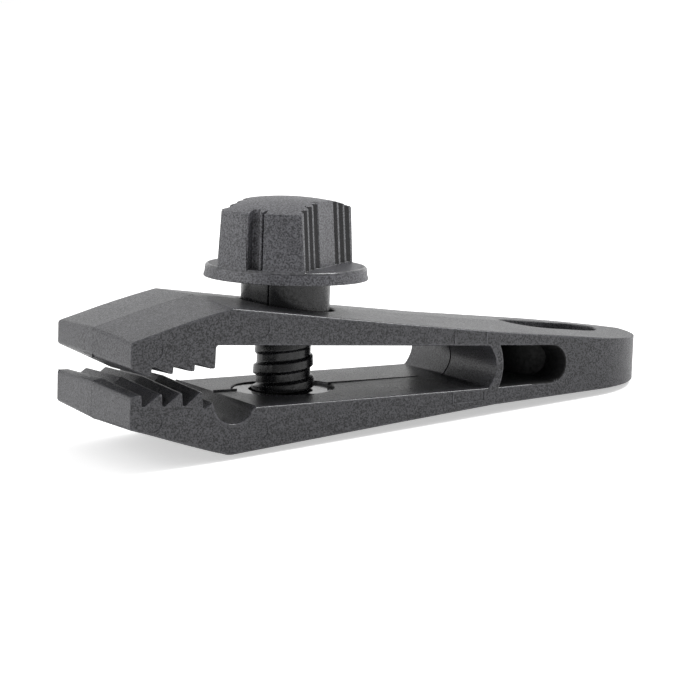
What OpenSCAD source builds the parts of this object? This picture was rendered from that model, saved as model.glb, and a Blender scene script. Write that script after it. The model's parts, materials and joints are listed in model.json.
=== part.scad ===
// Tarp clip: a moulded spring clamp with toothed jaws, closed by a thumb screw.
// +X points from the jaws to the tail, +Z points up out of the screw's head,
// and the origin is at the middle of the eyelet.
// The body is one moulding. It is given in three pieces here, because its two arms
// bend towards each other about the thin web between them.
// Heights are those at the parting plane, y = 0, where the moulding is thickest.

/* [Clamp body] */
// Width across the side faces
body_w = 29; // [26:0.5:34]
// Draft of the top, bottom and inner faces, from the parting plane to the sides, in degrees
draft = 2.4; // [0.5:0.1:3]
// From the eyelet's middle to the axis that the arms bend about
flex_reach = 20.6; // [20:0.1:22]
// From the eyelet's middle to the screw's axis
screw_reach = 54.2; // [52:0.1:56]
// From the eyelet's middle to the highest and lowest points of the arms
crest_reach = 71.5; // [70:0.1:73]
// From the eyelet's middle to the end of the jaws
jaw_reach = 89.3; // [87:0.1:95]
// Height of the upper jaw's end
jaw_top = 7.4; // [6.5:0.1:9]
// Height of the upper arm's crest
crest_top = 12.4; // [11.8:0.1:14]
// Height of the body's top at the web
web_top = 6.7; // [6.2:0.1:8]
// Height of the tail's end
tail_top = 3.5; // [3:0.1:5]
// Depth of the lower jaw's end below the middle line
jaw_bottom = 7.2; // [6.5:0.1:9]
// Depth of the lower arm's belly
crest_bottom = 12.5; // [12:0.1:14]
// Depth of the body's bottom at the web
web_bottom = 7.2; // [6.8:0.1:8]
// Depth of the tail's end
tail_bottom = 4.8; // [4:0.1:6]
// Radius of the belly's rounded corner
belly_r = 3; // [1:0.5:5]

/* [Gap between the arms] */
// Height of the gap's roof behind the upper teeth
roof_front = 5.4; // [5:0.1:6]
// Height of the gap's roof at the web
roof_back = 3.1; // [2.6:0.1:3.6]
// Depth of the gap's floor behind the cord groove
floor_front = 3.8; // [3.2:0.1:4]
// Depth of the gap's floor at the web
floor_back = 3; // [2.5:0.1:3.4]
// Thickness of the web at its middle
web_t = 1.5; // [1.2:0.1:2.4]
// Bow of the web's front face towards the tail
web_bow = 1.5; // [0.5:0.1:1.8]
// Length of the window behind the web, along the middle line
window_len = 13.2; // [11:0.1:14]
// Half height of the window's round end
window_r = 2.6; // [2.2:0.1:3]

/* [Teeth] */
// Number of teeth on each jaw
tooth_count = 4; // [3:1:4]
// Distance from one tooth to the next
tooth_pitch = 3.6; // [3:0.1:3.7]
// Depth of a tooth behind its tip
tooth_depth = 1.5; // [1:0.1:1.6]
// Height of the foremost upper tooth's tip
upper_tip = 1; // [0.9:0.1:1.4]
// Rise of each upper tip over the one before it
upper_tip_rise = 0.25; // [0:0.05:0.3]
// Depth of the lower teeth's tips
lower_tip = 0.75; // [0.7:0.05:1.2]

/* [Cord groove] */
// From the eyelet's middle to the groove's axis
groove_reach = 70.8; // [70.5:0.1:71.2]
// Depth of the groove's axis below the middle line
groove_depth = 3.05; // [2.9:0.05:3.4]
// Radius of the groove
groove_r = 3.7; // [3:0.1:3.9]

/* [Eyelet] */
// Length of the eyelet
eyelet_len = 19; // [16:0.5:20]
// Width of the eyelet
eyelet_w = 12.2; // [9:0.1:14]
// Thickness of the eyelet's wall inside the window
eyelet_wall = 2.8; // [1.6:0.1:3]
// Plastic between the eyelet and the end of the tail
tail_wall = 6.5; // [5:0.1:9]

/* [Thumb screw] */
// Radius of the flange under the grip
flange_r = 13.85; // [12:0.05:14.5]
// Thickness of the flange
flange_t = 2.15; // [1.6:0.05:3]
// Length of the neck from the flange to its seat in the upper arm
neck_len = 7.3; // [6.5:0.1:9]
// Radius of the neck
neck_r = 7.5; // [7:0.05:8]
// Height of the grip above the flange
grip_h = 11.4; // [9:0.1:14]
// Width of the grip at its foot
grip_w = 16.1; // [14:0.1:17]
// Number of flutes on each half of a side of the grip
flute_count = 3; // [2:1:3]
// Distance from one flute to the next
flute_pitch = 2.7; // [2.2:0.1:2.8]
// From the middle of the grip's side to its first flute
flute_start = 4.4; // [3.6:0.1:4.6]
// Radius of the grip's domed top
dome_r = 44; // [35:1:80]
// Turn of the grip's long axis from the clip's length, in degrees
grip_turn = 39.2; // [0:0.1:90]
// Radius of the screw's core
core_r = 4.45; // [4:0.05:4.6]
// Radius of the thread's crest
crest_r = 5.4; // [5.2:0.05:5.6]
// Pitch of the thread
pitch = 3.56; // [3.3:0.01:4]
// Length of the shank below the neck
shank_len = 18; // [17.5:0.1:19]
// Turn of both threads about the screw's axis, in degrees
thread_turn = -86; // [-180:1:180]

/* [Screw's seat and nut] */
// Height of the neck's seat in the upper arm
seat_h = 7.4; // [7:0.1:7.8]
// Play of the neck in its pocket, across the clip
pocket_play = 0.2; // [0.1:0.05:0.4]
// Extra length of the pocket and its hole, along the clip
slot_play = 1.6; // [1:0.1:2.4]
// Play of the thread's crest in the upper arm's hole
hole_play = 0.4; // [0.3:0.05:0.6]
// Depth of the nut's top below the middle line
nut_top = 4.4; // [4.2:0.1:4.8]
// Height of the nut's upper part
nut_neck_h = 3.4; // [3:0.1:3.6]
// Length of the nut's upper part
nut_len = 17.5; // [16.5:0.1:18.5]
// Width of the nut's upper part
nut_w = 14.2; // [13.5:0.1:14.6]
// Thickness of the nut's flange
nut_flange_t = 1.2; // [1:0.1:1.4]
// Ledge of the nut's flange under the lower arm
nut_ledge = 1.8; // [1.5:0.1:2.2]
// Radius of the boss under the nut
nut_boss_r = 7.1; // [6.5:0.1:8]
// Height of the boss under the nut's flange
nut_boss_h = 0.9; // [0.5:0.1:1.4]

/* [Clearances] */
// Gap between the nut and the lower arm
nut_gap = 0.2; // [0.1:0.05:0.3]
// Gap between the neck and its seat
seat_gap = 0.1; // [0.05:0.05:0.2]
// Gap between the screw's thread and the nut's, in and out
thread_gap = 0.5; // [0.45:0.05:0.6]
// Gap between the flanks of the two threads
flank_gap = 0.35; // [0.3:0.05:0.45]
// Gap between an arm's root and the rounded end of the tail
knuckle_gap = 0.2; // [0.1:0.05:0.4]

/* [Hidden] */
$fn = 96;
black = [0.11, 0.11, 0.12];
dark = [0.07, 0.07, 0.08];
grey = [0.16, 0.16, 0.17];

cut_over = 5;
flex_x = -flex_reach;
screw_x = -screw_reach;
tail_r = body_w / 2;
tail_end = eyelet_len / 2 + tail_wall;
crown = tail_r * tan(draft);

// Where the outline of the two arms bends slightly, as a share of the way from crest to web
waist_share = 0.62;
waist_x = -crest_reach + waist_share * (crest_reach - flex_reach);
// Drop of that bend below the straight line between crest and web
waist_drop = 0.1;
waist_top = crest_top + waist_share * (web_top - crest_top) - waist_drop;
waist_bottom = crest_bottom + waist_share * (web_bottom - crest_bottom) - waist_drop;

// Radius of the moulding's small corners, and points along each rounded corner
edge_r = 0.5;
corner_steps = 5;

// Heights of the jaws' lips, above and below the middle line
upper_lip_rise = 1.8;
lower_lip_drop = 0.45;
upper_lip = upper_tip + upper_lip_rise;
lower_lip = lower_tip + lower_lip_drop;
// From the jaw's end to the first upper tip and to the first lower tip
upper_lead = tooth_pitch;
lower_lead = tooth_pitch / 2;
// Flats at a tooth's tip and root, and slant of its rear wall, as shares of the pitch
flat_share = 0.15;
slant_share = 0.04;
tooth_flat = flat_share * tooth_pitch;
tooth_slant = slant_share * tooth_pitch;
// Small ridge between the last lower tooth and the groove
ridge_depth = 1.7;

// Web and window, measured along the middle line
web_front = flex_x - web_t / 2;
web_back = flex_x + web_t / 2;
back_bow_share = 0.5;
window_end = web_back + window_len;
arc_steps = 12;

// Radius of the tail's rounded end in front of the web
knuckle_r = 8;

// Screw: heights along its axis
neck_bottom = seat_h + seat_gap;
flange_bottom = neck_bottom + neck_len;
flange_top = flange_bottom + flange_t;
grip_top = flange_top + grip_h;
shank_bottom = neck_bottom - shank_len;
flange_flare = 0.35;
tip_chamfer = 0.8;
// Draft of the grip's end faces over its height, and of its sides in degrees
grip_end_draft = 0.3;
grip_side_draft = 4.2;
grip_end_gap = 0.2;
// Width and depth of the flutes
flute_w = 1.5;
flute_depth = 0.5;
// Slot in each end of the grip
slot_w = 2.6;
slot_depth = 1.2;

// Thread ridge: widths at the core and at the crest
ridge_root = 2.1;
ridge_crest = 1.1;
root_sink = 0.4;
turn_steps = 36;

// Nut: depths of its ledge and of its underside below the middle line
ledge_z = nut_top + nut_neck_h;
nut_bottom = ledge_z + nut_gap + nut_flange_t + nut_boss_h;
nut_hole_len = nut_len + 2 * nut_gap;
nut_hole_w = nut_w + 2 * nut_gap;

function unit(v) = v / norm(v);

// Points of one corner of an outline, rounded to the radius in its third number
function round_corner(a, b, c) =
    b[2] == 0 ? [[b[0], b[1]]] :
    let (
        p = [b[0], b[1]],
        u = unit([a[0], a[1]] - p),
        w = unit([c[0], c[1]] - p),
        half = acos(u * w) / 2,
        middle = p + unit(u + w) * b[2] / sin(half),
        first = p + u * b[2] / tan(half) - middle,
        last = p + w * b[2] / tan(half) - middle,
        from = atan2(first[1], first[0]),
        turn = atan2(first[0] * last[1] - first[1] * last[0], first * last)
    )
    [for (i = [0:corner_steps])
        middle + b[2] * [cos(from + turn * i / corner_steps), sin(from + turn * i / corner_steps)]];

// An outline of [x, z, radius] points as plain points
function rounded(points) =
    let (count = len(points))
    [for (i = [0:count - 1])
        each round_corner(points[(i + count - 1) % count], points[i], points[(i + 1) % count])];

// A bowed line from one height to another, x being furthest towards the tail at the middle
function bowed(x, bow, low, high) =
    [for (i = [0:arc_steps])
        let (s = i / arc_steps)
        [x - bow * pow(2 * s - 1, 2), low + s * (high - low)]];

// Undersides of the upper teeth, from the jaw's end to the wall behind them
function upper_teeth() =
    [for (i = [0:tooth_count - 1])
        let (
            x = -jaw_reach + upper_lead + i * tooth_pitch,
            z = upper_tip + i * upper_tip_rise,
            last = i == tooth_count - 1
        )
        each [
            [x, z],
            [x + tooth_flat, z],
            [x + tooth_flat + tooth_slant, last ? roof_front : z + tooth_depth],
            [x + (last ? 1 : 2) * tooth_flat + tooth_slant, last ? roof_front : z + tooth_depth]
        ]];

// Tops of the lower teeth, from the jaw's end to the ridge in front of the groove
function lower_teeth() =
    [for (i = [0:tooth_count - 1])
        let (
            x = -jaw_reach + lower_lead + i * tooth_pitch,
            depth = i == tooth_count - 1 ? tooth_depth + edge_r : tooth_depth
        )
        each [
            [x, -lower_tip],
            [x + tooth_flat, -lower_tip],
            [x + tooth_flat + tooth_slant, -lower_tip - depth],
            [x + 2 * tooth_flat + tooth_slant, -lower_tip - depth]
        ]];

function reversed(list) = [for (i = [len(list) - 1:-1:0]) list[i]];

// Outer side view of the moulding
module outer_profile() {
    polygon(rounded([
        [-jaw_reach, 0, 0],
        [-jaw_reach, jaw_top, edge_r],
        [-crest_reach, crest_top, edge_r],
        [waist_x, waist_top, 0],
        [flex_x, web_top, 0],
        [tail_end + cut_over, tail_top - cut_over * (web_top - tail_top) / (tail_end - flex_x), 0],
        [tail_end + cut_over, -tail_bottom + cut_over * (web_bottom - tail_bottom) / (tail_end - flex_x), 0],
        [flex_x, -web_bottom, 0],
        [waist_x, -waist_bottom, 0],
        [-crest_reach, -crest_bottom, belly_r],
        [-jaw_reach, -jaw_bottom, edge_r]
    ]));
}

// Space between the jaws and between the arms, as far back as the web
module gap_profile() {
    polygon(concat(
        [[-jaw_reach - cut_over, upper_lip], [-jaw_reach, upper_lip]],
        upper_teeth(),
        reversed(bowed(web_front + web_bow / 2, web_bow, -floor_back, roof_back)),
        [[-groove_reach + groove_r, -floor_front]],
        [[-groove_reach, -ridge_depth - lower_tip], [-groove_reach - groove_r, -ridge_depth - lower_tip]],
        reversed(lower_teeth()),
        [[-jaw_reach, -lower_lip], [-jaw_reach - cut_over, -lower_lip]]
    ));
}

// Window between the web and the solid tail
module window_profile() {
    bow = web_bow * back_bow_share;
    polygon(concat(
        bowed(web_back + web_bow / 2, bow, -floor_back, roof_back),
        [for (i = [0:arc_steps])
            let (a = 90 - 180 * i / arc_steps)
            [window_end - window_r + window_r * cos(a), window_r * sin(a)]]
    ));
}

module side_profile() {
    difference() {
        outer_profile();
        gap_profile();
        window_profile();
    }
}

// View from above: a round tail, and jaw ends drafted to both sides
module plan_profile() {
    polygon([
        [-jaw_reach + crown, -tail_r],
        [tail_end - tail_r, -tail_r],
        [tail_end - tail_r, tail_r],
        [-jaw_reach + crown, tail_r],
        [-jaw_reach, 0]
    ]);
    translate([tail_end - tail_r, 0]) circle(r = tail_r);
}

module obround(length, width, height) {
    for (side = [-1, 1])
        translate([side * (length - width) / 2, 0, 0]) cylinder(r = width / 2, h = height);
    translate([(width - length) / 2, -width / 2, 0]) cube([length - width, width, height]);
}

// The whole moulding without its holes, thickest at the parting plane
module moulding() {
    intersection() {
        intersection_for (side = [-1, 1])
            rotate([90 + side * draft, 0, 0])
                linear_extrude(height = body_w + 2 * cut_over, center = true) side_profile();
        translate([0, 0, -crest_bottom - cut_over])
            linear_extrude(height = crest_top + crest_bottom + 2 * cut_over) plan_profile();
    }
}

module across(x, z, r) {
    translate([x, 0, z]) rotate([90, 0, 0]) cylinder(r = r, h = body_w + 2 * cut_over, center = true);
}

// Everything behind the rounded end of the tail, which stays still when the arms bend
module tail_side(r) {
    across(flex_x, 0, r);
    translate([flex_x, -body_w, -body_w]) cube([body_w + jaw_reach, 2 * body_w, 2 * body_w]);
}

module half_space(side) {
    translate([-jaw_reach - cut_over, -body_w, side > 0 ? 0 : -body_w])
        cube([jaw_reach + tail_end + 2 * cut_over, 2 * body_w, body_w]);
}

module tail() {
    wall_half = window_r + crown;
    color(black)
    difference() {
        union() {
            intersection() {
                moulding();
                tail_side(knuckle_r);
            }
            translate([0, 0, -wall_half])
                obround(eyelet_len + 2 * eyelet_wall, eyelet_w + 2 * eyelet_wall, 2 * wall_half);
        }
        translate([0, 0, -body_w]) obround(eyelet_len, eyelet_w, 2 * body_w);
    }
}

module upper_arm() {
    pocket_w = 2 * (neck_r + pocket_play);
    hole_w = 2 * (crest_r + hole_play);
    color(black)
    difference() {
        intersection() {
            moulding();
            half_space(1);
        }
        tail_side(knuckle_r + knuckle_gap);
        translate([screw_x, 0, seat_h]) obround(pocket_w + slot_play, pocket_w, body_w);
        translate([screw_x, 0, 0]) obround(hole_w + slot_play, hole_w, body_w);
    }
}

module lower_arm() {
    color(black)
    difference() {
        intersection() {
            moulding();
            half_space(-1);
        }
        tail_side(knuckle_r + knuckle_gap);
        across(-groove_reach, -groove_depth, groove_r);
        translate([screw_x, 0, -body_w]) obround(nut_hole_len, nut_hole_w, body_w);
        translate([screw_x, 0, -body_w])
            obround(nut_hole_len + 2 * nut_ledge, nut_hole_w + 2 * nut_ledge, body_w - ledge_z);
    }
}

// Ridge of a right-hand thread from one height up to another, with tapered ends.
// Its section is a trapezium: root width at r_in, crest width at r_out.
module helix(r_in, r_out, root_w, crest_w, z_low, z_high) {
    turns = (z_high - z_low) / pitch;
    rings = ceil(turns * turn_steps);
    taper = turn_steps / 4;
    points = [for (i = [0:rings])
        let (
            a = 360 * turns * i / rings,
            z = z_low + (z_high - z_low) * i / rings,
            grown = min(1, i / taper),
            r = r_in + root_sink / 4 + (r_out - r_in - root_sink / 4) * grown
        )
        each [
            [r_in * cos(a), r_in * sin(a), z - root_w / 2],
            [r * cos(a), r * sin(a), z - crest_w / 2],
            [r * cos(a), r * sin(a), z + crest_w / 2],
            [r_in * cos(a), r_in * sin(a), z + root_w / 2]
        ]];
    sides = [for (i = [0:rings - 1], k = [0:3])
        let (a = 4 * i + k, b = 4 * i + (k + 1) % 4)
        each [[a, b, a + 4], [b, b + 4, a + 4]]];
    polyhedron(points, concat([[3, 2, 1, 0]], sides, [[4 * rings, 4 * rings + 1, 4 * rings + 2, 4 * rings + 3]]));
}

module captive_nut() {
    slope = (ridge_root - ridge_crest) / (crest_r - core_r);
    turns_above = floor((neck_bottom + nut_top) / pitch) - 1;
    turns_below = ceil((neck_bottom + nut_bottom) / pitch) + 1;
    color(grey)
    translate([screw_x, 0, 0])
    difference() {
        union() {
            translate([0, 0, -ledge_z]) obround(nut_len, nut_w, nut_neck_h);
            translate([0, 0, -ledge_z - nut_gap - nut_flange_t])
                obround(nut_len + 2 * nut_ledge, nut_w + 2 * nut_ledge, nut_flange_t);
            translate([0, 0, -nut_bottom])
                cylinder(r = nut_boss_r, h = nut_boss_h + nut_flange_t + nut_gap);
        }
        translate([0, 0, -body_w]) cylinder(r = core_r + thread_gap, h = body_w);
        rotate([0, 0, thread_turn])
            helix(core_r + thread_gap - root_sink, crest_r + thread_gap,
                ridge_root + 2 * flank_gap + root_sink * slope, ridge_crest + 2 * flank_gap,
                neck_bottom - pitch * turns_below, neck_bottom - pitch * turns_above);
    }
}

// One quarter of the grip's plan, from the plain middle of its side to its corner,
// with a V-shaped flute at each step
function grip_quarter() =
    concat(
        [for (i = [0:flute_count - 1])
            let (u = flute_start + i * flute_pitch)
            each [
                [u - flute_w / 2, grip_w / 2],
                [u, grip_w / 2 - flute_depth],
                [u + flute_w / 2, grip_w / 2]
            ]],
        [[flange_r + cut_over, grip_w / 2]]
    );

module grip_plan() {
    quarter = grip_quarter();
    polygon(concat(
        quarter,
        [for (p = reversed(quarter)) [p[0], -p[1]]],
        [for (p = quarter) [-p[0], -p[1]]],
        [for (p = reversed(quarter)) [-p[0], p[1]]]
    ));
}

module grip() {
    difference() {
        intersection() {
            intersection_for (side = [-1, 1])
                translate([0, 0, flange_bottom]) rotate([side * grip_side_draft, 0, 0])
                    linear_extrude(height = grip_h + flange_t + cut_over) grip_plan();
            translate([0, 0, flange_bottom])
                cylinder(r1 = flange_r - grip_end_gap, r2 = flange_r - grip_end_gap - grip_end_draft,
                    h = grip_h + flange_t);
            translate([0, 0, grip_top - dome_r]) sphere(r = dome_r);
        }
        for (side = [0, 180])
            rotate([0, 0, side])
                translate([flange_r - grip_end_gap - grip_end_draft / 2 - slot_depth, -slot_w / 2, flange_top])
                    cube([cut_over, slot_w, grip_h + cut_over]);
    }
}

module thumb_screw() {
    color(dark)
    translate([screw_x, 0, 0]) {
        rotate([0, 0, grip_turn]) grip();
        translate([0, 0, flange_bottom]) cylinder(r1 = flange_r, r2 = flange_r - flange_flare, h = flange_t);
        translate([0, 0, neck_bottom]) cylinder(r = neck_r, h = neck_len);
        translate([0, 0, shank_bottom + tip_chamfer]) cylinder(r = core_r, h = shank_len - tip_chamfer);
        translate([0, 0, shank_bottom]) cylinder(r1 = core_r - tip_chamfer, r2 = core_r, h = tip_chamfer);
        rotate([0, 0, thread_turn])
            helix(core_r - root_sink, crest_r, ridge_root + root_sink, ridge_crest,
                neck_bottom - pitch * floor((shank_len - tip_chamfer - ridge_root / 2) / pitch), neck_bottom);
    }
}

tail();
upper_arm();
lower_arm();
captive_nut();
thumb_screw();
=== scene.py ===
import json
import math

import bmesh
import bpy
import numpy as np
from mathutils import Matrix, Vector


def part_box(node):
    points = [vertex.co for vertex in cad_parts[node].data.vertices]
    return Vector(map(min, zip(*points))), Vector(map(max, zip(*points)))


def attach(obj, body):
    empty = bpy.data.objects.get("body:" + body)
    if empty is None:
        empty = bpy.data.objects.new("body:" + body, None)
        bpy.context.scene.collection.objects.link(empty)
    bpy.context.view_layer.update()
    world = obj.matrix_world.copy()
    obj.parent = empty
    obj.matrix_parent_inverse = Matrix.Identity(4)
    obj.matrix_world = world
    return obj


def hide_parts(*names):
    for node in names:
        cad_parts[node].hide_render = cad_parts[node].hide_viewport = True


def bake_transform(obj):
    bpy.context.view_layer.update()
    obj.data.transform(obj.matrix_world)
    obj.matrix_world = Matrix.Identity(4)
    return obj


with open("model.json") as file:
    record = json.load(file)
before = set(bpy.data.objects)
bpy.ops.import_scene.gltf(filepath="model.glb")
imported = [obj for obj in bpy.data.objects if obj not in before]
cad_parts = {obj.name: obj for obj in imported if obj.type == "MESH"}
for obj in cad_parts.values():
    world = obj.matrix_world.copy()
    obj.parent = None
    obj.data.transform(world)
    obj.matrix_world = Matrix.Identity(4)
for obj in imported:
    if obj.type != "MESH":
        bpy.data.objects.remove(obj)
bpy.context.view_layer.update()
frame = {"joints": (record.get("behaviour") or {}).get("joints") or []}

# Clamp body, its outline.
# The real body is one moulding of black glass-filled nylon, and its mould opens across the clip.
# So it is one outline, drawn in millimetres at the parting plane, that goes out to both side faces.
mm = 0.001
joint_places = {joint["name"]: np.array(joint["pos_m"]) / mm for joint in frame["joints"]}
bend_x = joint_places["upper_arm_flex"][0]
screw_x = joint_places["screw_turn"][0]
tail_corner = np.array(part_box("tail")[1]) / mm
jaw_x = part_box("upper_arm")[0].x / mm
crest_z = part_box("upper_arm")[1].z / mm
belly_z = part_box("lower_arm")[0].z / mm
half_w = tail_corner[1]
tail_x = tail_corner[0]
crest_x = -71.5
waist_x = -40.0
beyond, tall = 4.0, 20.0
top_line = np.array([
    (tail_x, 3.5), (bend_x, 6.7), (waist_x, 8.77), (crest_x, crest_z), (jaw_x, 7.4),
])
bottom_line = np.array([
    (jaw_x, -7.0), (crest_x, belly_z), (waist_x, -9.1), (bend_x, -7.1), (tail_x, -4.7),
])
top_bulge, bottom_bulge = 0.24, -0.1
crest_round, belly_round = 0.8, 4.0
roof_line = np.array([(-73.75, 5.4), (-22.1, 3.1)])
floor_line = np.array([(-22.1, -3.3), (-67.3, -4.05)])


def carry_on(start, end, distance):
    """The point on the line from start through end whose x lies that distance beyond end."""
    start, end = np.array(start), np.array(end)
    return end + (end - start) * distance / abs(end[0] - start[0])


def bulged(start, end, rise):
    """Points between start and end, off the straight line by a parabola with that rise."""
    share = np.linspace(0.2, 0.8, 4)[:, None]
    straight = np.array(start) * (1 - share) + np.array(end) * share
    return straight + [0, 4 * rise] * share * (1 - share)


def arc(centre, radius, start, stop, steps):
    """Points on a circle, at even angles from start to stop in degrees."""
    angle = np.radians(np.linspace(start, stop, steps + 1))
    return np.column_stack([centre[0] + radius * np.cos(angle), centre[1] + radius * np.sin(angle)])


def soften(corner, before, after, radius, steps=6):
    """A corner of an outline as an arc of that radius, tangent to both of its sides."""
    corner, before, after = np.array(corner), np.array(before), np.array(after)
    to_before = (before - corner) / np.linalg.norm(before - corner)
    to_after = (after - corner) / np.linalg.norm(after - corner)
    half = math.acos(float(to_before @ to_after)) / 2
    inwards = (to_before + to_after) / np.linalg.norm(to_before + to_after)
    middle = corner + inwards * radius / math.sin(half)
    first = corner + to_before * radius / math.tan(half) - middle
    last = corner + to_after * radius / math.tan(half) - middle
    turn = math.atan2(first[0] * last[1] - first[1] * last[0], float(first @ last))
    angle = turn * np.linspace(0, 1, steps + 1)
    cos, sin = np.cos(angle), np.sin(angle)
    return middle + np.column_stack([first[0] * cos - first[1] * sin, first[0] * sin + first[1] * cos])


# Clamp body, its teeth and cord groove.
# Four saw teeth on each jaw, cut in the mould as steep walls that face the tail with long ramps
# between them, and behind the lower ones a half-round groove for a cord.
upper_walls = -85.5 + 3.73 * np.arange(4)
lower_walls = -87.1 + 3.52 * np.arange(4)
upper_lip, lower_lip = 3.2, -1.25
upper_tips, upper_roots = 0.98 + 0.25 * np.arange(4), 2.45 + 0.15 * np.arange(4)
upper_flats = 0.25 + 0.2 * np.arange(4)
lower_tip, lower_roots, lower_flat = -0.72, np.array([-2.5, -2.65, -2.8, -3.4]), 0.4
wall_slant, root_flat = 0.12, 0.45

upper_teeth = []
for wall, tip, root, flat in zip(upper_walls, upper_tips, upper_roots, upper_flats):
    upper_teeth += [(wall - flat, tip), (wall, tip)]
    upper_teeth += [(wall + wall_slant, root), (wall + wall_slant + root_flat, root)]
upper_teeth = upper_teeth[:-2]

lower_teeth = []
for wall, root in zip(lower_walls, lower_roots):
    lower_teeth += [(wall - lower_flat, lower_tip), (wall, lower_tip)]
    lower_teeth += [(wall + wall_slant, root), (wall + wall_slant + root_flat, root)]

groove_centre, groove_r = np.array([-70.8, -2.45]), 3.7
groove = arc(groove_centre, groove_r, -37, -175, 20)
groove_lip = arc(groove_centre, groove_r, -25.5, -25.5, 0)[0]
groove_ridge = (groove_centre[0] - groove_r - 0.2, -2.5)

# Clamp body, its web and window.
# A thin bowed web joins the arms, and they bend about it. Behind it a slide in the mould leaves a
# window with a round end, which makes the roots of the arms thin enough to bend.
bow = np.linspace(1, -1, 13)
web_t, front_bow, back_bow = 1.5, 1.5, 0.75
web_middle = (roof_line[1, 1] + floor_line[0, 1]) / 2
web_half_h = (roof_line[1, 1] - floor_line[0, 1]) / 2
window_middle, window_half_h = 0.1, 3.0
window_end_x, window_end_r = -8.7, 2.6
web_front = np.column_stack([bend_x - front_bow * bow ** 2, web_middle + web_half_h * bow])
web_back = np.column_stack([bend_x + web_t - back_bow * bow ** 2, window_middle + window_half_h * bow])
window_end = arc((window_end_x, 0), window_end_r, -90, 90, 16)

# Clamp body, its surfaces.
# Each face of the outline leans into the plastic on its way to the side faces, and a fine groove
# marks the parting line where the two halves of the mould met. The web's far half is set back.
draft = math.tan(math.radians(2.4))
line_half_w, line_depth = 0.08, 0.032
roof_round, floor_round, floor_way = 0.5, 0.9, -0.4
web_set_back, web_reach = 0.066, 4.2


def leaning(points, way):
    """Outline points with a third number, the way that they go on the way to the side faces: from
    -1, down, to 1, up."""
    return np.column_stack([points, np.broadcast_to(way, len(points))])


def solid(name, rings):
    """A closed mesh from rings of points: each ring runs anticlockwise as seen from before the
    first one, quads join each two rings, and one face closes each end."""
    count, size = rings.shape[:2]
    number = np.arange(count * size).reshape(count, size)
    after = np.roll(number, -1, axis=1)
    sides = np.stack([number[:-1], number[1:], after[1:], after[:-1]], axis=-1).reshape(-1, 4)
    mesh = bpy.data.meshes.new(name)
    faces = [number[0].tolist(), *sides.tolist(), number[-1, ::-1].tolist()]
    mesh.from_pydata(rings.reshape(-1, 3).tolist(), [], faces)
    piece = bpy.data.objects.new(name, mesh)
    bpy.context.scene.collection.objects.link(piece)
    return piece


def across(name, outline, reach):
    """The outline carried along Y to both sides. Each point's height changes by its way times the
    draft times the distance from the parting plane, where the parting line runs."""
    places = np.array([-reach, -line_half_w, 0, line_half_w, reach])
    rises = draft * np.abs(places)
    rises[2] = line_depth
    return solid(name, np.array([
        np.insert(outline[:, :2] + outline[:, 2:] * [0, rise], 1, y, axis=1)
        for y, rise in zip(places, rises)
    ]))


def lean_web(piece, line_x):
    """Moves a face of the web, the points near those places along X, towards the tail on its way to
    the far side face, where its half of the mould was set back: by web_set_back times Y."""
    points = np.empty(len(piece.data.vertices) * 3)
    piece.data.vertices.foreach_get("co", points)
    x, y, z = points.reshape(-1, 3).T
    near = (y > 1) & (abs(z) < web_reach) & (x > line_x.min() - 0.1) & (x < line_x.max() + 0.1)
    x[near] += web_set_back * y[near]
    piece.data.vertices.foreach_set("co", points)


def stand(name, plan, low, high):
    """A plan outline, anticlockwise as seen from above, as an upright block from low to high."""
    return solid(name, np.array([np.insert(plan, 2, z, axis=1) for z in (high, low)]))


def obround(centre_x, length, width):
    """Plan of a slot with round ends, its length along X."""
    reach = (length - width) / 2
    return np.vstack([arc((centre_x + reach, 0), width / 2, -90, 90, 33),
                      arc((centre_x - reach, 0), width / 2, 90, 270, 33)])


def bake(piece):
    """Makes a piece's modifiers part of its mesh."""
    graph = bpy.context.evaluated_depsgraph_get()
    graph.update()
    mesh = bpy.data.meshes.new_from_object(piece.evaluated_get(graph))
    piece.modifiers.clear()
    piece.data = mesh


def carve(piece, tool, operation="DIFFERENCE"):
    """Cuts the tool out of the piece, or keeps or joins it, and removes the tool."""
    change = piece.modifiers.new(operation, "BOOLEAN")
    change.operation = operation
    change.solver = "MANIFOLD"
    change.object = tool
    bake(piece)
    bpy.data.objects.remove(tool)


def round_edges(piece, largest, share_at):
    """Rounds each edge where two faces meet at more than 50 degrees. Its radius is the largest one
    times the share that share_at gives for the edge's middle."""
    shape = bmesh.new()
    shape.from_mesh(piece.data)
    share = shape.edges.layers.float.new("bevel_weight_edge")
    for edge in shape.edges:
        if edge.calc_face_angle(0) > math.radians(50):
            edge[share] = share_at((edge.verts[0].co + edge.verts[1].co) / 2)
    shape.to_mesh(piece.data)
    shape.free()
    rounding = piece.modifiers.new("edges", "BEVEL")
    rounding.width = largest
    rounding.segments = 3
    rounding.limit_method = "WEIGHT"
    rounding.use_clamp_overlap = False
    bake(piece)


def complete(piece):
    """Brings a piece from millimetres to metres, and shades its faces flat with smooth roundings."""
    piece.data.transform(Matrix.Scale(mm, 4))
    piece.data.materials.clear()
    piece.data.shade_smooth()
    piece.data.set_sharp_from_angle(angle=math.radians(34))
    normals = piece.modifiers.new("normals", "WEIGHTED_NORMAL")
    normals.keep_sharp = True


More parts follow.
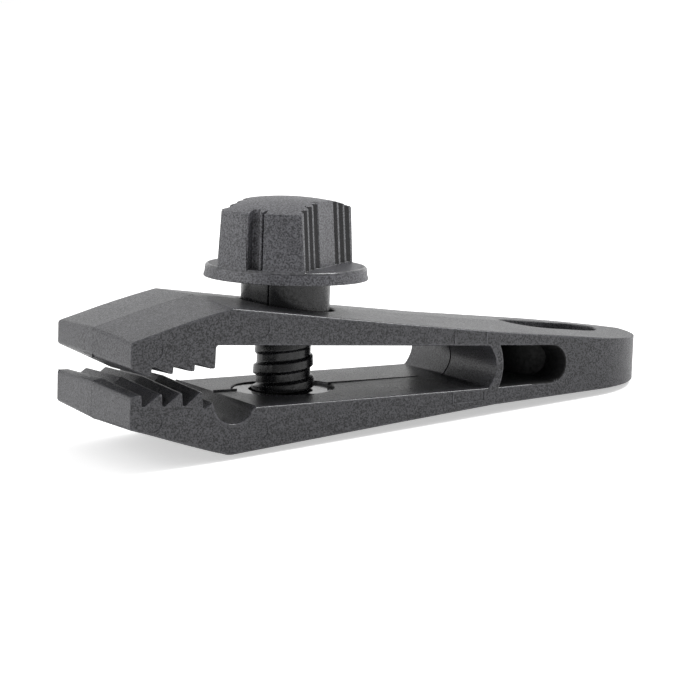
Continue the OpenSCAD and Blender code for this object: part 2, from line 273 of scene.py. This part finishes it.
roof_corner = (upper_walls[-1] + 0.1, roof_line[0, 1])
body = across("clamp_body", np.vstack([
    leaning([(jaw_x - beyond, upper_lip), (jaw_x, upper_lip)], 0),
    leaning(upper_teeth, 1),
    leaning(soften(roof_corner, upper_teeth[-1], roof_line[1], roof_round), 1),
    leaning(web_front, np.interp(bow, [-1, 1], [floor_way, 1])),
    leaning(soften(groove_lip, floor_line[0], groove[0], floor_round), np.linspace(floor_way, -1, 7)),
    leaning([*groove, groove_ridge, *lower_teeth[::-1]], -1),
    leaning([(jaw_x, lower_lip), (jaw_x - beyond, lower_lip)], -0.5),
    leaning([carry_on(bottom_line[1], bottom_line[0], beyond)], 0.6),
    leaning(bulged(bottom_line[0], bottom_line[1], bottom_bulge), 0.9),
    leaning(soften(bottom_line[1], bottom_line[0], bottom_line[2], belly_round), 1),
    leaning([*bottom_line[2:4], carry_on(bottom_line[3], bottom_line[4], beyond)], 1),
    leaning([carry_on(top_line[1], top_line[0], beyond), *top_line[1:3]], -1),
    leaning(soften(top_line[3], top_line[2], top_line[4], crest_round), -1),
    leaning(bulged(top_line[3], top_line[4], top_bulge), -1),
    leaning([carry_on(top_line[3], top_line[4], beyond)], -1),
]), half_w + beyond)
lean_web(body, web_front[:, 0])
jaw_front, jaw_lean = jaw_x + 0.1, 0.15
plan = np.vstack([
    [(jaw_front, line_half_w), (jaw_front + line_depth, 0), (jaw_front, -line_half_w)],
    [(jaw_front + jaw_lean, -half_w)],
    arc((tail_x - half_w, 0), half_w, -90, 90, 65),
    [(jaw_front + jaw_lean, half_w)],
])
carve(body, stand("plan", plan, -tall, tall), "INTERSECT")
eyelet_len, eyelet_w, eyelet_wall = 19.0, 12.2, 2.8
window = across("window", np.vstack([
    leaning(window_end, np.linspace(-1, 1, 17)),
    leaning(web_back, bow),
]), half_w + beyond)
lean_web(window, web_back[:, 0])
wall_plan = obround(0, eyelet_len + 2 * eyelet_wall, eyelet_w + 2 * eyelet_wall)
carve(window, stand("eyelet_wall", wall_plan, -tall, tall))
carve(body, window)
carve(body, stand("eyelet", obround(0, eyelet_len, eyelet_w), -tall, tall))

# Clamp body, its openings for the screw and the nut.
# The neck turns in an oblong pocket in the upper arm, over a smaller hole for the shank, and the
# nut sits in an oblong hole in the lower arm with a ledge above its flange.
seat_z, neck_r, shank_r = 7.4, 7.5, 5.4
pocket_w, hole_w, play = 2 * neck_r + 0.4, 2 * shank_r + 0.8, 1.6
nut_len, nut_w, nut_gap, ledge, ledge_z = 17.5, 14.2, 0.2, 1.8, -7.8
opening_len, opening_w = nut_len + 2 * nut_gap, nut_w + 2 * nut_gap
carve(body, stand("pocket", obround(screw_x, pocket_w + play, pocket_w), seat_z, tall))
carve(body, stand("hole", obround(screw_x, hole_w + play, hole_w), 0, tall))
carve(body, stand("nut_hole", obround(screw_x, opening_len, opening_w), -tall, 0))
ledge_plan = obround(screw_x, opening_len + 2 * ledge, opening_w + 2 * ledge)
carve(body, stand("nut_ledge", ledge_plan, -tall, ledge_z))

# Clamp body, its parts that move.
# The arms bend over their roots, and the tail stays. So the moulding is parted where the arms begin,
# and across the window too, to round its edges, and the tail's two halves are joined again.
seam_x, window_x, bend_reach = -22.5, -13.0, 14.0
edge_r, jaw_share, corner_share, tooth_share, other_share = 0.5, 1.0, 0.3, 0.25, 0.6
jaw_end_x, teeth_low, teeth_high = jaw_x + 0.7, -4.4, 4.0
upper_teeth_end, lower_teeth_end = upper_walls[-1] - 0.02, groove_ridge[0] + 0.05
window_reach, window_half_w = 3.6, half_w - 1


def body_rounding(place):
    """Share of the largest radius: all of it along the jaws' ends and a third at their corners, little
    at the teeth, none inside the window or where the body is parted, and a bit over half elsewhere."""
    if min(abs(place.x - seam_x), abs(place.x - window_x)) < 0.01:
        return 0.0
    if place.x < jaw_end_x:
        return corner_share if abs(place.y) > half_w - 0.1 else jaw_share
    teeth_end = upper_teeth_end if place.z > 0 else lower_teeth_end
    if place.x < teeth_end and teeth_low < place.z < teeth_high:
        return tooth_share
    if place.x > bend_x and abs(place.z) < window_reach and abs(place.y) < window_half_w:
        return 0.0
    return other_share


parts = {}
for part, x_low, x_high, z_low, z_high in (
    ("tail", window_x, tail_x + beyond, -tall, tall),
    ("web", seam_x, window_x, -tall, tall),
    ("upper_arm", jaw_x - beyond, seam_x, 0, tall),
    ("lower_arm", jaw_x - beyond, seam_x, -tall, 0),
):
    parts[part] = bpy.data.objects.new("clamp_" + part, body.data.copy())
    bpy.context.scene.collection.objects.link(parts[part])
    box = np.array([(x_low, -tall), (x_high, -tall), (x_high, tall), (x_low, tall)])
    carve(parts[part], stand("box", box, z_low, z_high), "INTERSECT")
    round_edges(parts[part], edge_r, body_rounding)
bpy.data.objects.remove(body)
web_line_depth, web_line_half_w, blade_out = 0.22, 0.2, 0.35
blade = np.vstack([web_front + [web_line_depth, 0], web_front[::-1] - [blade_out, 0]])
blade_rings = np.array([
    np.insert(blade[::-1], 1, y, axis=1) for y in (-web_line_half_w, web_line_half_w)
])
carve(parts["web"], solid("web_line", blade_rings))
carve(parts["tail"], parts.pop("web"), "UNION")

# Clamp body, its marks from the mould.
# Round ejector pins left four shallow discs on one side face, and the seams round the slide that
# shapes the gap left fine raised lines there. The gap's floor has a thin fin of flash on the
# parting line.
pin_r, pin_depth, pin_rim = 1.65, 0.16, 0.12
seam_half_w, seam_rise, seam_root = 0.11, 0.1, 1.0
fin_half_w, fin_root = 0.05, 0.3


def pin_mark(x, z):
    """The shape of a pin as deep as its mark, flared at the side face to soften the mark's rim."""
    radii = pin_r + pin_rim * np.array([1, 1, 0.3, 0, 0])
    places = -half_w + np.array([-1, 0, pin_rim * 0.3, pin_rim, pin_depth])
    rims = [arc((x, z), r, 0, 360, 48)[:-1] for r in radii]
    return solid("pin", np.array([np.insert(rim, 1, y, axis=1) for rim, y in zip(rims, places)]))


def seam_mark(x0, z0, x1, z1):
    """A fine straight ridge on the near side face from one point to another."""
    along = np.array([x1 - x0, z1 - z0]) / math.hypot(x1 - x0, z1 - z0)
    out = np.array([along[1], -along[0]]) * seam_half_w
    start, end = np.array([x0, z0]), np.array([x1, z1])
    corners = np.array([start + out, end + out, end - out, start - out])
    places = (-half_w - seam_rise, -half_w + seam_root)
    return solid("seam", np.array([np.insert(corners, 1, y, axis=1) for y in places]))


for arm, x, z in (
    ("upper_arm", -85.2, 5.66), ("upper_arm", -66.45, 8.44),
    ("lower_arm", -85.1, -5.62), ("lower_arm", -66.25, -8.1),
):
    carve(parts[arm], pin_mark(x, z))
for arm, *line in (
    ("lower_arm", -29.3, -3.95, -29.3, -5.9), ("lower_arm", -29.3, -5.9, -22.9, -5.6),
    ("lower_arm", -22.9, -5.6, -22.9, -3.9),
    ("upper_arm", -29.3, 4.4, -29.3, 6.6), ("upper_arm", -22.9, 4.1, -22.9, 6.2),
):
    carve(parts[arm], seam_mark(*line), "UNION")
for x0, rise0, x1, rise1 in ((-67.3, 0.32, -62.9, 0.28), (-45.5, 0.2, -27.0, 0.06)):
    z0, z1 = np.interp((x0, x1), *floor_line[::-1].T)
    fin = np.array([(x0, z0 + rise0), (x1, z1 + rise1), (x1, z1 - fin_root), (x0, z0 - fin_root)])
    fin_rings = np.array([np.insert(fin, 1, y, axis=1) for y in (fin_half_w, -fin_half_w)])
    carve(parts["lower_arm"], solid("flash", fin_rings), "UNION")
for name, piece in parts.items():
    complete(piece)
    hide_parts(name)
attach(parts["tail"], "tail")
for arm in ("upper_arm", "lower_arm"):
    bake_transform(parts[arm])

# Clamp body, its finish.
# Glass-filled nylon from a spark-eroded mould: nearly black, with a grain that scatters light softly
# and turns pale at a glancing look. The grain is drawn coarser than the real one, so that it shows.


def linear(code):
    """An sRGB hex colour as linear red, green, blue and a full alpha."""
    value = np.array([int(code[i:i + 2], 16) for i in (1, 3, 5)]) / 255
    return (*np.where(value <= 0.04045, value / 12.92, ((value + 0.055) / 1.055) ** 2.4), 1.0)


def node(tree, kind, inputs, **settings):
    """Adds a node with its settings, and links each input to a socket or sets it to a value."""
    made = tree.nodes.new(kind)
    for key, value in settings.items():
        setattr(made, key, value)
    for key, value in inputs.items():
        if isinstance(value, bpy.types.NodeSocket):
            tree.links.new(value, made.inputs[key])
        else:
            made.inputs[key].default_value = value
    return made.outputs


def moulded(name, dark, pale, grain_mm, grain_depth_mm, roughness):
    """Moulded plastic: a grain that is a bump, a change from the dark to the pale colour and a gloss
    on its peaks, and broad clouds that change the roughness a little."""
    material = bpy.data.materials.new(name)
    material.use_nodes = True
    tree = material.node_tree
    tree.nodes.clear()
    place = node(tree, "ShaderNodeTexCoord", {})["Object"]
    fine = {"Vector": place, "Scale": 1 / (grain_mm * mm), "Detail": 1.0}
    grain = node(tree, "ShaderNodeTexNoise", fine)["Fac"]
    broad = {"Vector": place, "Scale": 1 / (9 * mm), "Detail": 2.0}
    cloud = node(tree, "ShaderNodeTexNoise", broad)["Fac"]
    peaks = {"Value": grain, "From Min": 0.36, "From Max": 0.64}
    share = node(tree, "ShaderNodeMapRange", peaks)["Result"]
    mixed = {0: share, 6: linear(dark), 7: linear(pale)}
    colour = node(tree, "ShaderNodeMix", mixed, data_type="RGBA")[2]
    span = {"Value": cloud, "To Min": roughness - 0.06, "To Max": roughness + 0.06}
    clouded = node(tree, "ShaderNodeMapRange", span)["Result"]
    rough = node(tree, "ShaderNodeMath", {0: share, 1: -0.12, 2: clouded}, operation="MULTIPLY_ADD")[0]
    bump = node(tree, "ShaderNodeBump", {"Height": grain, "Distance": grain_depth_mm * mm})["Normal"]
    looks = {"Base Color": colour, "Roughness": rough, "IOR": 1.53, "Normal": bump}
    shader = node(tree, "ShaderNodeBsdfPrincipled", looks)["BSDF"]
    node(tree, "ShaderNodeOutputMaterial", {"Surface": shader})
    return material


def given(piece, material, where):
    """Gives the material to the faces whose middles, in millimetres, where() picks."""
    middles = np.empty(len(piece.data.polygons) * 3)
    slots = np.empty(len(piece.data.polygons), np.int32)
    piece.data.polygons.foreach_get("center", middles)
    piece.data.polygons.foreach_get("material_index", slots)
    slots[where(middles.reshape(-1, 3) / mm)] = len(piece.data.materials)
    piece.data.materials.append(material)
    piece.data.polygons.foreach_set("material_index", slots)


# The edges that stand out are rubbed smooth and drawn paler, partly wear and partly a painted
# highlight. The faces inside the window are dull and near black: painted shade for that deep recess.
edge_highlight_w, hair = 0.12, 0.001
recess_start, recess_end = bend_x + 0.65, window_end_x + window_end_r + 0.2
recess_half_h, recess_half_w = window_half_h + 0.5, half_w - 0.05
nylon = moulded("glass_filled_nylon", "#141417", "#515155",
                grain_mm=0.24, grain_depth_mm=0.045, roughness=0.4)
# Paler and glossier edges: partly wear, partly a painted highlight of the light on the edges.
worn_highlight_nylon = moulded("worn_highlight_nylon", "#3c3c3f", "#5a5a5e",
                     grain_mm=0.6, grain_depth_mm=0.006, roughness=0.25)
# Darker and smoother: partly the finish, partly painted shade for the neck, thread and grooves.
smooth_shaded_nylon = moulded("smooth_shaded_nylon", "#18181a", "#222225",
                       grain_mm=0.6, grain_depth_mm=0.006, roughness=0.3)
# Near black and dull: painted shade inside the window, which lies in deep shade.
recess_shade_nylon = moulded("painted_shade_window_nylon", "#0a0a0b", "#121214",
                       grain_mm=0.6, grain_depth_mm=0.006, roughness=0.75)


def worn_highlight_edges(place):
    """Whether each place, on the jaws' side of the eyelet, is within the width of the edge band that
    is worn and painted with a highlight, next to a side face, and not on it."""
    out = abs(place[:, 1])
    return (place[:, 0] < 0) & (out > half_w - edge_highlight_w) & (abs(out - half_w) > hair)


def in_shaded_recess(place):
    """Whether each place is between the web and the window's round end, and inside the window."""
    along, out, height = place.T
    inside = (abs(height) < recess_half_h) & (abs(out) < recess_half_w)
    return (along > recess_start) & (along < recess_end) & inside


# The narrow bands along the side faces' edges get the paler colour, wear and painted highlight.
for piece in parts.values():
    piece.data.materials.append(nylon)
    given(piece, worn_highlight_nylon, worn_highlight_edges)
# The faces inside the window get the painted shade.
given(parts["tail"], recess_shade_nylon, in_shaded_recess)

# Thumb screw, its shank and flange.
# One moulding: a round flange with a flared foot, a smooth neck that turns in the upper arm, and
# a shank with a coarse right-hand thread whose ridge has sloping flanks.
core_r, crest_r, pitch = 4.55, 5.3, 3.56
thread_turn = math.radians(-86)
neck_low, neck_high, flange_top = 7.5, 14.8, 16.95
shank_len, shank_chamfer, thread_step = 18.0, 0.8, 0.1
shank_low = neck_low - shank_len
ridge_root_w, ridge_crest_w, ridge_growth, ridge_end = 2.3, 1.3, 11.0, 1.2
flange_r, rim_r, rim_round = 13.85, 13.6, 0.5
foot_low, foot_high, foot_round = neck_high + 0.35, neck_high + 0.75, 0.05


def ridge(theta, z, root_w, crest_w):
    """Height of the thread's ridge, from 0 at its root to 1 at its crest: it climbs one pitch a
    turn, and its flanks are straight with soft corners."""
    phase = (z - neck_low) / pitch - (theta - thread_turn) / (2 * math.pi)
    away = np.abs(phase - np.round(phase)) * pitch
    slope = np.clip((root_w / 2 - away) / ((root_w - crest_w) / 2), 0, 1)
    return slope * slope * (3 - 2 * slope)


def turned(name, profile, shape=None, steps=128):
    """A profile of radii and heights, from the bottom up, turned about the screw's axis. shape
    gives what is added to each radius at its angle and height."""
    theta = np.linspace(0, 2 * math.pi, steps, endpoint=False)[None, :]
    radius, z = (np.repeat(column[::-1, None], steps, axis=1) for column in np.array(profile).T)
    if shape is not None:
        radius = radius + shape(theta, z)
    return solid(name, np.stack([screw_x + radius * np.cos(theta), radius * np.sin(theta), z], axis=-1))


def threaded(theta, z):
    """Rise of the screw's thread, which grows from nothing at the neck to all of it over three
    turns, and fades out over its lowest millimetre."""
    growth = np.clip((neck_low - z) / ridge_growth, 0, 1)
    fade = growth * np.clip((z - shank_low) / ridge_end, 0, 1)
    return (crest_r - core_r) * fade * ridge(theta, z, ridge_root_w, ridge_crest_w)


screw = turned("shank", [
    (core_r - shank_chamfer, shank_low),
    *[(core_r, z) for z in np.arange(shank_low + shank_chamfer, neck_low, thread_step)],
    (core_r, neck_low), (neck_r, neck_low), (neck_r, neck_high), (flange_r, neck_high),
    (flange_r - foot_round, foot_low), (rim_r + foot_round, foot_high),
    *arc((rim_r - rim_round, flange_top - rim_round), rim_round, 0, 90, 4),
], shape=threaded)

# Thumb screw, its grip.
# A bar across the flange with a domed top and slightly hollow sides. Three V grooves near each
# corner give the fingers hold, the middle of each side is plain, and each end has a ribbed slot.
grip_turn = math.radians(39.2)
turn = np.array([
    [math.cos(grip_turn), -math.sin(grip_turn)],
    [math.sin(grip_turn), math.cos(grip_turn)],
])
waist_half_w, hollow_depth, hollow_reach = 7.3, 0.45, 11.7
hollow, grip_draft = hollow_depth / hollow_reach ** 2, math.tan(math.radians(4.2))
groove_places, groove_half_w, groove_depth, plain_rise = (4.5, 7.0, 9.5), 0.9, 0.8, 0.15
bar_end, bar_beyond, bar_root, grip_edge_r = 12.6, 20.0, 0.3, 0.15
dome_top, dome_r, end_top_r, end_foot_r = 28.33, 44.0, 13.5, rim_r - 0.3
slot_half_w, slot_end, rib_end, slot_beyond, slot_low = 1.35, 11.6, 12.7, 17.6, flange_top + 0.1
slot_plan = np.array([
    (-slot_end, -slot_half_w), (-slot_end, -0.95), (-rib_end, -0.8), (-rib_end, -0.3),
    (-slot_end, 0.0), (-slot_end, slot_half_w),
    (-slot_beyond, slot_half_w), (-slot_beyond, -slot_half_w),
])

plain_end = groove_places[0] - groove_half_w - plain_rise
quarter = [(u, plain_rise) for u in (0.9, 1.8, 2.7, plain_end)]
for u in groove_places:
    quarter += [(u - groove_half_w, 0), (u, -groove_depth), (u + groove_half_w, 0)]
quarter = np.array([*quarter, (bar_end, 0), (bar_beyond, 0)])
quarter[:, 1] += waist_half_w + hollow * quarter[:, 0] ** 2
bar = np.vstack([quarter[::-1], quarter * [-1, 1], quarter[::-1] * [-1, -1], quarter * [1, -1]])


def in_grip(plan):
    """Points along and across the grip's bar as points in the clip's own plan."""
    return plan @ turn.T + [screw_x, 0]


bar_rings = []
for z in (dome_top + 1, neck_high + bar_root):
    drafted = bar - np.sign(bar) * [0, grip_draft * (z - flange_top)]
    bar_rings.append(np.insert(in_grip(drafted), 2, z, axis=1))
grip = solid("thumb_screw", np.array(bar_rings))
dome_radii = end_top_r * np.linspace(1, 0.003, 12)
dome = np.column_stack([dome_radii, dome_top - dome_r + np.sqrt(dome_r ** 2 - dome_radii ** 2)])
carve(grip, turned("drum", [(end_foot_r, neck_high), (rim_r, flange_top), *dome]), "INTERSECT")
for side in (-1, 1):
    carve(grip, stand("slot", in_grip(side * slot_plan), slot_low, dome_top + 2))
carve(grip, screw, "UNION")
neck_line_half_w, neck_line_depth = 0.06, 0.08
for side in (-1, 1):
    low, high = sorted((side * (neck_r - neck_line_depth), side * (neck_r + 1)))
    line = np.array([
        (low, -neck_line_half_w), (high, -neck_line_half_w),
        (high, neck_line_half_w), (low, neck_line_half_w),
    ])
    carve(grip, stand("neck_line", in_grip(line), neck_low - 1, neck_high))
round_edges(grip, grip_edge_r, lambda place: 1.0)
complete(grip)

# The head's mould was spark-eroded more coarsely than the body's. The neck, the thread and the
# grip's grooves are smooth and darker, partly their finish and partly painted shade where the
# flange, the arms and the grooves' sides shade them. The flange's upper edge is rubbed paler,
# partly wear and partly a painted highlight.
head_nylon = moulded("coarse_grained_nylon", "#303033", "#68686d",
                     grain_mm=0.27, grain_depth_mm=0.04, roughness=0.48)
grooves_start, grooves_end, grooves_top, groove_skin, groove_inmost = 3.5, 10.5, 25.0, 0.15, 5.0


def polished_shaded(place):
    """Whether each place is on the neck or thread, or in a groove: along the grooved stretch, in
    from the grip's side by more than the skin, and below the dome."""
    height = place[:, 2]
    along, out = np.abs((place[:, :2] - [screw_x, 0]) @ turn).T
    out += grip_draft * (height - flange_top)
    sunk = (out < waist_half_w + hollow * along ** 2 - groove_skin) & (out > groove_inmost)
    in_groove = sunk & (along > grooves_start) & (along < grooves_end) & (height < grooves_top)
    return (height < neck_high - 0.01) | in_groove


def rubbed_highlight_rim(place):
    """Whether each place is on the rounding of the flange's upper edge."""
    radius = np.hypot(place[:, 0] - screw_x, place[:, 1])
    fallen = flange_top - place[:, 2]
    return (radius > rim_r - rim_round - 0.01) & (fallen > 0) & (fallen < rim_round)


grip.data.materials.append(head_nylon)
# The neck, the thread and the grooves get the painted shade.
given(grip, smooth_shaded_nylon, polished_shaded)
# The flange's rounded upper edge gets the paler colour: wear and a painted highlight.
given(grip, worn_highlight_nylon, rubbed_highlight_rim)
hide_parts("thumb_screw")
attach(grip, "thumb_screw")

# Captive nut.
# An oblong nut of black acetal, smooth and with a dark gloss, dropped into the lower arm from
# below. Its flange bears on the ledge inside, and its own coarse thread takes the screw.
nut_top, nut_flange_t, boss_r, boss_h = -4.25, 1.2, 7.1, 0.9
thread_gap, flank_gap, bore_step, nut_overlap, nut_edge_r = 0.5, 0.35, 0.15, 0.3, 0.15
flange_low = ledge_z - nut_gap - nut_flange_t
nut_low = ledge_z - nut_gap - nut_overlap
nut = stand("captive_nut_body", obround(screw_x, nut_len, nut_w), nut_low, nut_top)
nut_flange = obround(screw_x, nut_len + 2 * ledge, nut_w + 2 * ledge)
carve(nut, stand("nut_flange", nut_flange, flange_low, ledge_z - nut_gap), "UNION")
boss = arc((screw_x, 0), boss_r, 0, 360, 64)[:-1]
carve(nut, stand("boss", boss, flange_low - boss_h, flange_low + nut_overlap), "UNION")


def tapped(theta, z):
    """Rise of the nut's thread outwards from its bore, wider than the screw's by the flank gap."""
    wide_root, wide_crest = ridge_root_w + 2 * flank_gap, ridge_crest_w + 2 * flank_gap
    return (crest_r - core_r) * ridge(theta, z, wide_root, wide_crest)


bore_heights = np.arange(flange_low - boss_h - 1, nut_top + 1, bore_step)
carve(nut, turned("bore", [(core_r + thread_gap, z) for z in bore_heights], shape=tapped))
round_edges(nut, nut_edge_r, lambda place: 1.0)
complete(nut)
nut.data.materials.append(moulded("nut_acetal", "#303033", "#37373a",
                                  grain_mm=0.5, grain_depth_mm=0.003, roughness=0.2))
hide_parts("captive_nut")
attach(nut, "lower_arm")

# Table, light and camera.
# The clip lies on its belly and the lower edge of its tail, so the white table slopes a little in
# the clip's own frame. The room round it is white, dimmer on the photographer's side and overhead.
slope = math.atan2(bottom_line[4, 1] - belly_z, tail_x - crest_x)
table_half, table_gap, table_t = 4.0, 0.0002, 0.01
table_corners = table_half * np.array([(-1, -1, 0), (1, -1, 0), (1, 1, 0), (-1, 1, 0)])
table_rings = np.array([table_corners - [0, 0, table_gap], table_corners - [0, 0, table_t]])
tilt = np.array(Matrix.Rotation(-slope, 3, "Y")).T
table = solid("table", table_rings @ tilt + [crest_x * mm, 0, belly_z * mm])
white = bpy.data.materials.new("white_table")
world = bpy.data.worlds.new("studio")
bpy.context.scene.world = world
for surface in (white, world):
    surface.use_nodes = True
    surface.node_tree.nodes.clear()


def seen_directly(tree):
    """1 for rays from the camera, also through clear surfaces, and 0 for others."""
    rays = node(tree, "ShaderNodeLightPath", {})
    either = {0: rays["Is Camera Ray"], 1: rays["Is Transmission Ray"]}
    return node(tree, "ShaderNodeMath", either, operation="MAXIMUM")[0]


tree = white.node_tree
paint = node(tree, "ShaderNodeBsdfDiffuse", {"Color": (0.92, 0.92, 0.92, 1)})[0]
glowing = {"Color": (0.5, 0.5, 0.5, 1), "Strength": seen_directly(tree)}
glow = node(tree, "ShaderNodeEmission", glowing)[0]
lit = node(tree, "ShaderNodeAddShader", {0: paint, 1: glow})[0]
node(tree, "ShaderNodeOutputMaterial", {"Surface": lit})
table.data.materials.append(white)

tree = world.node_tree
way = node(tree, "ShaderNodeTexCoord", {})["Generated"]
towards_front = {0: way, 1: (-0.5, -0.86, 0.1)}
front = node(tree, "ShaderNodeVectorMath", towards_front, operation="DOT_PRODUCT")["Value"]
fall = {"Value": front, "From Min": 0.35, "From Max": 0.95, "To Min": 0.97, "To Max": 0.24}
dimmed = node(tree, "ShaderNodeMapRange", fall, interpolation_type="SMOOTHSTEP")["Result"]
height = node(tree, "ShaderNodeSeparateXYZ", {"Vector": way})["Z"]
rise = {"Value": height, "From Min": 0.12, "From Max": 0.6, "To Min": 1.0, "To Max": 0.7}
higher = node(tree, "ShaderNodeMapRange", rise)["Result"]
strength = node(tree, "ShaderNodeMath", {0: dimmed, 1: higher}, operation="MULTIPLY")[0]
room = node(tree, "ShaderNodeBackground", {"Color": (1, 1, 1, 1), "Strength": strength})[0]
backdrop = node(tree, "ShaderNodeBackground", {"Color": (1, 1, 1, 1), "Strength": 1.0})[0]
chosen = node(tree, "ShaderNodeMixShader", {0: seen_directly(tree), 1: room, 2: backdrop})[0]
node(tree, "ShaderNodeOutputWorld", {"Surface": chosen})


def softbox(name, place, size, power):
    """A square area lamp at place, facing the clip's middle."""
    lamp = bpy.data.lights.new(name, "AREA")
    lamp.size, lamp.energy = size, power
    holder = bpy.data.objects.new(name, lamp)
    bpy.context.scene.collection.objects.link(holder)
    holder.location = place
    aim = Vector((screw_x * mm, 0, 0)) - holder.location
    holder.rotation_euler = aim.to_track_quat("-Z", "Y").to_euler()


softbox("key", (-1.1, 0.2, 0.3), size=1.3, power=6.6)
softbox("overhead", (0.35, -0.1, 0.7), size=0.3, power=3.6)

# The camera's place and aim were worked out from the straight edges of the photographed clip.
eye = np.array([-225.43, -310.86, 53.10]) * mm
right = np.array([0.8622, -0.5055, 0.0325])
up = np.array([0.0433, 0.1375, 0.9895])
pixels_per_unit, picture_w = 2128.0, 700.0
camera = bpy.data.cameras.new("camera")
camera.sensor_width = 36.0
camera.lens = pixels_per_unit / picture_w * camera.sensor_width
camera.clip_start, camera.clip_end = 0.01, 20.0
view = bpy.data.objects.new("camera", camera)
bpy.context.scene.collection.objects.link(view)
axes = np.eye(4)
axes[:3] = np.column_stack([right, up, np.cross(right, up), eye])
view.matrix_world = Matrix(axes.tolist())
bpy.context.scene.camera = view
bpy.context.scene.view_settings.view_transform = "Standard"
